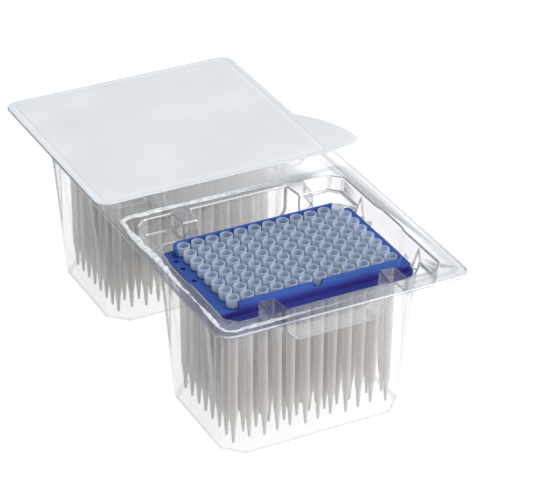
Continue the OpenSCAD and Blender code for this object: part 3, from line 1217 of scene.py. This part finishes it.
@dataclass
class Lid:
    """The lid sheet, sealed along a pressed line, with its pull tab in one piece."""

    sizes: PackSizes
    thickness: float = 0.3
    corner_r: float = 8.0
    least_r: float = 0.6
    tab_out: float = 21.0
    tab_len: float = 54.0
    tab_r: float = 10.0
    tab_turn: float = 24.0
    tab_slope: float = 2.0
    tab_bulge: float = 3.0
    tab_shares: tuple[float, ...] = (1.0, 0.985, 0.75, 0.5, 0.25, 0.0)
    edge_drop: float = 0.06
    seal_inset: float = 4.2
    groove_w: float = 1.6
    groove_deep: float = 0.16
    swell: float = 0.10
    swell_run: float = 12.0
    waves: tuple[float, float, float] = (0.022, 0.03, 3.7)
    insets: tuple[float, ...] = (
        1.2, 2.4, 3.4, 3.8, 4.2, 4.6, 5.0, 6.5, 9, 12, 16, 21, 27, 34, 42, 51, 60, 68,
    )
    counts: tuple[int, int, int] = (56, 56, 10)

    @property
    def half(self) -> Pair:
        """Half the lid's width and depth, without its tab."""
        low, high = self.sizes.lid_low, self.sizes.lid_high
        return -low[0], (high[1] - low[1]) / 2

    def tab_path(self) -> Array:
        """The tab's outline, from the lid's front edge round its nose to the lid's side.

        Returns:
            Its points.
        """
        w, d = self.half
        nose = np.array([self.tab_out - self.tab_r, self.tab_slope + self.tab_r])
        turns = np.radians(np.linspace(-90, self.tab_turn, 16))
        arc = nose + self.tab_r * np.stack([np.cos(turns), np.sin(turns)], 1)
        start, end = arc[-1], np.array([0, self.tab_len])
        belly = (nose + [self.tab_r, 0] + end) / 2 + self.tab_bulge
        pull = 2 * belly - (start + end) / 2
        t = np.linspace(0, 1, 12)[1:, None]
        bow = (1 - t) ** 2 * start + 2 * t * (1 - t) * pull + t * t * end
        return np.array([w, -d]) + np.concatenate([[[-self.corner_r, 0], [0, 0]], arc, bow])

    def outer_loop(self, share: float) -> Array:
        """The lid's outline, with the tab grown to a share of its reach.

        Args:
            share: The share.

        Returns:
            The outline's points.
        """
        start, along_y, around = self.counts
        points = loop_points(self.half, self.corner_r, self.counts)
        side = points[start:start + around + along_y + 1]
        near = int((side[:, 1] < self.tab_len - self.half[1]).sum())
        source = points[start:start + near]
        gone = np.concatenate([[0], np.cumsum(np.linalg.norm(np.diff(source, axis=0), axis=1))])
        target = along_path(self.tab_path(), gone / gone[-1])
        points[start:start + near] = source + share * (target - source)
        return points

    def rise(self, x: Array, y: Array, inset: float) -> Array:
        """Height of the lid's top above its own plane at a place.

        Args:
            x: Places along X.
            y: Places along Y.
            inset: How far in from the lid's edge they are.

        Returns:
            The heights.
        """
        off = inset - self.seal_inset
        pressed = self.groove_deep * np.exp(-((off / (self.groove_w / 2)) ** 2))
        loose = np.clip(off / self.swell_run, 0, 1)
        wide, deep, layer = self.waves
        waves = np.array([noise.noise(Vector((a * wide, b * deep, layer))) for a, b in zip(x, y)])
        return -pressed + self.swell * loose * (waves - 1)

    def build(self, finish: Material) -> None:
        """Builds the lid and its tab.

        Args:
            finish: The lid's material.
        """
        w, d = self.half
        low, high = self.sizes.lid_low, self.sizes.lid_high
        top = high[2]
        loops = [raised(self.outer_loop(1.0), top - self.thickness)]
        for share in self.tab_shares:
            drop = self.edge_drop if share == 1.0 else 0.0
            loops.append(raised(self.outer_loop(share), top - drop))
        for inset in self.insets:
            r = max(self.corner_r - inset, self.least_r)
            ring = loop_points((w - inset, d - inset), r, self.counts)
            loops.append(raised(ring, top + self.rise(*ring.T, inset)))
        points, faces = lofted(loops, Ends.FILLED)
        points[:, 1] += (low[1] + high[1]) / 2
        piece = new_piece("lid_with_pull_tab", points, faces)
        mount_piece(piece, ["sealed_lid"], finish)


@dataclass
class TornSeal:
    """The band of seal that stayed on the open well's flange when its lid came off.

    Its torn edges rest at a share of the tear and wander from there. Each swing has a
    reach, a frequency and a layer of the noise.
    """

    sizes: PackSizes
    corner_r: float = 8.0
    width: float = 4.8
    ragged: float = 2.2
    calm: float = 0.10
    slim: float = 1.5
    slim_run: float = 60.0
    thick: float = 0.17
    lift: float = 0.01
    half_side: float = 75.0
    leaning: tuple[float, float, float] = (0.75, 0.35, 0.35)
    rests: Pair = (0.15, 0.5)
    edge_rise: Pair = (0.15, 4.0)
    swings: tuple[tuple[float, float, float], ...] = (
        (0.9, 0.045, 0), (0.45, 0.17, 3), (0.22, 0.7, 6),
    )
    tear_limits: Pair = (-0.5, 1.2)
    layers: Pair = (1.3, 8.1)
    counts: tuple[int, int, int] = (260, 260, 26)
    across: int = 9

    def roughness(self, x: Array, y: Array) -> Array:
        """How ragged the band is at a place: torn at the left and front, clean elsewhere.

        Args:
            x: Places along X.
            y: Places along Y.

        Returns:
            A share for each place.
        """
        left, front, always = self.leaning
        toward = (-x / self.half_side * left - y / self.half_side * front) + always
        return self.calm + (1 - self.calm) * np.clip(toward, 0, 1)

    def tear(self, loop: Array, layer: float) -> Array:
        """Wander of a torn edge along a loop: long swings with fine teeth on them.

        Args:
            loop: The loop's points.
            layer: Which of the noise's layers is used.

        Returns:
            How far the edge wanders in at each point, as a share of the tear.
        """
        wander = [sum(reach * noise.noise(Vector((x * often, y * often, layer + up)))
                      for reach, often, up in self.swings) for x, y in loop]
        return np.clip(np.array(wander), *self.tear_limits)

    def build(self, finish: Material) -> None:
        """Builds the band.

        Args:
            finish: The band's material.
        """
        low, high = self.sizes.seal_low, self.sizes.seal_high
        w, d = (high[0] - low[0]) / 2, (high[1] - low[1]) / 2
        outer = loop_points((w, d), self.corner_r, self.counts)
        inner = loop_points((w - self.width, d - self.width), self.corner_r - self.width / 2,
                            self.counts)
        torn = self.ragged * self.roughness(*outer.T)
        slim = self.slim * np.clip(0.5 - outer[:, 1] / self.slim_run, 0, 1)
        outside, inside = (torn * (rest + self.tear(outer, layer))
                           for rest, layer in zip(self.rests, self.layers))
        first = (outside + slim) / self.width
        last = 1 - inside / self.width
        low_edge, steep = self.edge_rise
        loops = []
        for t in np.linspace(0, 1, self.across):
            plan = outer + (first + t * (last - first))[:, None] * (inner - outer)
            rise = self.thick * min(1.0, steep * min(t, 1 - t) + low_edge)
            loops.append(raised(plan, low[2] + rise))
        loops += [raised(loops[k][:, :2], low[2] + self.lift) for k in (-1, 0)]
        points, faces = lofted(loops, Ends.JOINED)
        points[:, 1] += (high[1] + low[1]) / 2
        piece = new_piece("torn_seal_band", points, faces)
        mount_piece(piece, ["seal_residue"], finish)


# --------------------------------------------------------------- rack and tips


@dataclass
class Rack:
    """One rack, which keeps the frame's mesh and gets softened edges."""

    node: str
    edge_r: float = 0.22
    sharp_angle: float = 50.0
    weld_gap: float = 0.005

    def dress(self, finish: Material) -> None:
        """Gives the rack its material and small rounded edges.

        Args:
            finish: The rack's material.
        """
        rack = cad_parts[self.node]
        rack.data.materials.clear()
        rack.data.materials.append(finish)
        weld = rack.modifiers.new("weld", "WELD")
        weld.merge_threshold = self.weld_gap * MM
        bevel = rack.modifiers.new("edges", "BEVEL")
        bevel.width = self.edge_r * MM
        bevel.segments = 2
        bevel.limit_method = "ANGLE"
        bevel.angle_limit = math.radians(self.sharp_angle)
        bevel.harden_normals = True
        log.info("%s: dressed", self.node)


@dataclass(frozen=True)
class TipProfile:
    """Outline of a tip. Depths are measured down from its mouth."""

    collar_r: float = 3.8
    collar_len: float = 5.4
    bore_r: float = 3.1
    bore_len: float = 4.2
    neck_r: float = 2.95
    neck_fillet: float = 0.15
    neck_len: float = 0.3
    waist_r: float = 2.45
    nozzle_r: float = 1.65
    end_r: float = 0.75
    end_wall: float = 0.35
    end_lip: Pair = (0.1, 0.15)
    body_wall: float = 0.5
    taper_len: float = 5.5
    taper_bulge: float = 0.06
    nozzle_len: float = 12.0
    lip: float = 0.22
    lip_ease: float = 0.3
    body_shares: tuple[float, ...] = (0, 0.25, 0.5, 0.75)

    def outline(self, length: float) -> list[Pair]:
        """Closed outline as radius and depth, from the inside of the mouth outwards.

        Args:
            length: Full length of the tip.

        Returns:
            Its points.
        """
        lip, eased = self.lip, self.lip * self.lip_ease
        nozzle = length - self.nozzle_len
        waist = nozzle - self.taper_len
        neck = self.collar_len
        top = neck + self.neck_len
        body = [(self.neck_r + (self.waist_r - self.neck_r) * t, top + (waist - top) * t)
                for t in self.body_shares]
        taper_r = (self.waist_r + self.nozzle_r) / 2 + self.taper_bulge
        return [
            (self.bore_r, lip), (self.bore_r + eased, eased), (self.bore_r + lip, 0),
            (self.collar_r - lip, 0), (self.collar_r - eased, eased), (self.collar_r, lip),
            (self.collar_r, neck - lip), (self.collar_r - lip * 0.5, neck),
            (self.neck_r + self.neck_fillet, neck), *body,
            (self.waist_r, waist), (taper_r, waist + self.taper_len / 2),
            (self.nozzle_r, nozzle),
            ((self.nozzle_r + self.end_r) / 2, length - self.nozzle_len / 2),
            (self.end_r, length - self.end_lip[1]), (self.end_r - self.end_lip[0], length),
            (self.end_r - self.end_wall, length),
            (self.nozzle_r - self.body_wall, nozzle), (self.waist_r - self.body_wall, waist),
            (self.neck_r - self.body_wall, neck + 1), (self.bore_r, self.bore_len),
        ]


@dataclass
class TipColumn:
    """A column of tips, each standing where the frame's own tip stands."""

    well: Well
    number: int
    profile: TipProfile = TipProfile()
    segments: int = 28
    mouth_slice: float = 1.0
    end_slice: float = 0.3

    @property
    def node(self) -> str:
        """The frame node's name."""
        return f"tips_{self.well.value}_column_{self.number:02d}"

    def axes(self) -> list[tuple[Array, Array]]:
        """Each tip's mouth and end, measured on the frame's tips.

        Returns:
            A pair of points for each tip.
        """
        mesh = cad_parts[self.node].data
        points = np.empty(len(mesh.vertices) * 3)
        mesh.vertices.foreach_get("co", points)
        points = points.reshape(-1, 3) / MM
        middle = (points[:, 1].min() + points[:, 1].max()) / 2
        found = []
        for row in range(ROWS):
            y = middle + ((ROWS - 1) / 2 - row) * PITCH
            tip = points[np.abs(points[:, 1] - y) < PITCH / 2]
            z = tip[:, 2]
            slices = tip[z > z.max() - self.mouth_slice], tip[z < z.min() + self.end_slice]
            found.append(tuple((part.min(0) + part.max(0)) / 2 for part in slices))
        return found

    def build(self, finish: Material) -> None:
        """Builds the column's eight tips as one piece.

        Args:
            finish: The tips' material.
        """
        points: list[Array] = []
        faces: Faces = []
        turns = np.linspace(0, 2 * math.pi, self.segments, endpoint=False)
        circle = np.stack([np.cos(turns), np.sin(turns)], 1)
        for mouth, end in self.axes():
            down = Vector(end - mouth)
            turn = np.array(Vector((0, 0, -1)).rotation_difference(down).to_matrix())
            outline = self.profile.outline(down.length)
            made, quads = lofted([raised(circle * r, -z) for r, z in outline], Ends.JOINED)
            base = len(points) * len(made)
            points.append(made @ turn.T + mouth)
            faces += [[base + i for i in quad] for quad in quads]
        piece = new_piece(self.node + "_fine", np.concatenate(points), faces)
        bm = bmesh.new()
        bm.from_mesh(piece.data)
        bmesh.ops.recalc_face_normals(bm, faces=bm.faces)
        bm.to_mesh(piece.data)
        bm.free()
        mount_piece(piece, [self.node], finish)


# --------------------------------------------------------------------- studio


@dataclass
class Studio:
    """Pale floor, soft lights and the camera. Its lengths are in metres."""

    sizes: PackSizes
    camera_at: tuple[float, float, float] = (-0.5825, -1.1234, 0.8358)
    azimuth: float = 26.98
    down: float = 30.05
    roll: float = 0.125
    lens: float = 173.2
    sensor: float = 36.0
    far: float = 20.0
    floor_half: float = 3.0
    floor_z: float = -0.00005
    bright_side: tuple[float, float, float] = (0.70, -0.45, 0.55)
    sky_levels: Pair = (0.1, 1.6)
    sky_start: float = -0.15
    aim_z: float = 0.06
    lamps: tuple[tuple[str, tuple[float, float, float], float, float], ...] = (
        ("key", (1.2, -1.25, 0.66), 0.9, 28),
        ("top", (-0.2, 0.1, 1.8), 1.2, 9),
    )

    def camera(self) -> None:
        """Places the camera."""
        data = bpy.data.cameras.new("camera")
        data.lens = self.lens
        data.sensor_width = self.sensor
        data.clip_end = self.far
        camera = bpy.data.objects.new("camera", data)
        bpy.context.scene.collection.objects.link(camera)
        az, el = math.radians(self.azimuth), math.radians(self.down)
        turn = Matrix.Rotation(-az, 4, "Z") @ Matrix.Rotation(math.pi / 2 - el, 4, "X")
        turn = turn @ Matrix.Rotation(math.radians(self.roll), 4, "Z")
        camera.matrix_world = Matrix.Translation(self.camera_at) @ turn
        bpy.context.scene.camera = camera

    def floor(self) -> None:
        """Lays the floor."""
        half, z = self.floor_half / MM, self.floor_z / MM
        corners = [(-half, -half, z), (half, -half, z), (half, half, z), (-half, half, z)]
        floor = new_piece("floor", np.array(corners), [[0, 1, 2, 3]], smooth=False)
        floor.data.materials.append(FloorFinish().build())

    def sky(self) -> World:
        """Makes the surroundings: pale all round, brighter towards the front right.

        Returns:
            The surroundings.
        """
        r = Recipe(bpy.data.worlds.new("studio"))
        inputs = {0: r.add("TexCoord").outputs["Generated"],
                  1: Vector(self.bright_side).normalized()}
        toward = r.add("VectorMath", inputs, operation="DOT_PRODUCT").outputs["Value"]
        level = r.span(toward, self.sky_start, 1.0, self.sky_levels,
                       interpolation_type="SMOOTHSTEP")
        return r.finish(r.add("Background", {"Color": (1, 1, 1), "Strength": level}))

    def lamp(self, name: str, at: Sequence[float], size: float, power: float) -> None:
        """Adds a soft square lamp that faces the pack.

        Args:
            name: The lamp's name.
            at: Its place.
            size: Its side.
            power: Its power in watts.
        """
        data = bpy.data.lights.new(name, "AREA")
        data.size = size
        data.energy = power
        lamp = bpy.data.objects.new(name, data)
        aim = Vector((0, self.sizes.well_pitch / 2 * MM, self.aim_z)) - Vector(at)
        lamp.rotation_euler = aim.to_track_quat("-Z", "Y").to_euler()
        lamp.location = at
        bpy.context.scene.collection.objects.link(lamp)

    def build(self) -> None:
        """Sets the whole stage."""
        scene = bpy.context.scene
        scene.view_settings.view_transform = "Standard"
        scene.cycles.transparent_max_bounces = 32
        scene.cycles.diffuse_bounces = 8
        scene.world = self.sky()
        self.floor()
        for lamp in self.lamps:
            self.lamp(*lamp)
        self.camera()
        log.info("stage: floor, %d lamps and camera", len(self.lamps))


def main() -> None:
    """Sets the stage, then builds the pack's pieces in order."""
    logging.basicConfig(level=logging.INFO, format="%(name)s: %(message)s")
    sizes = PackSizes.read()
    Studio(sizes).build()
    rack_finish = RackFinish().build(sizes.deck_z)
    for well in Well:
        Rack(f"rack_{well.value}").dress(rack_finish)
    tip_finish = TipFinish().build(sizes.deck_z)
    for well in Well:
        for number in range(1, COLUMNS + 1):
            TipColumn(well, number).build(tip_finish)
    sheet = ClearSheet(sizes)
    sheet.build(ClearSheetFinish().build(sheet))
    Lid(sizes).build(LidFinish().build())
    TornSeal(sizes).build(HazeFinish().build())


if __name__ == "__main__":
    main()
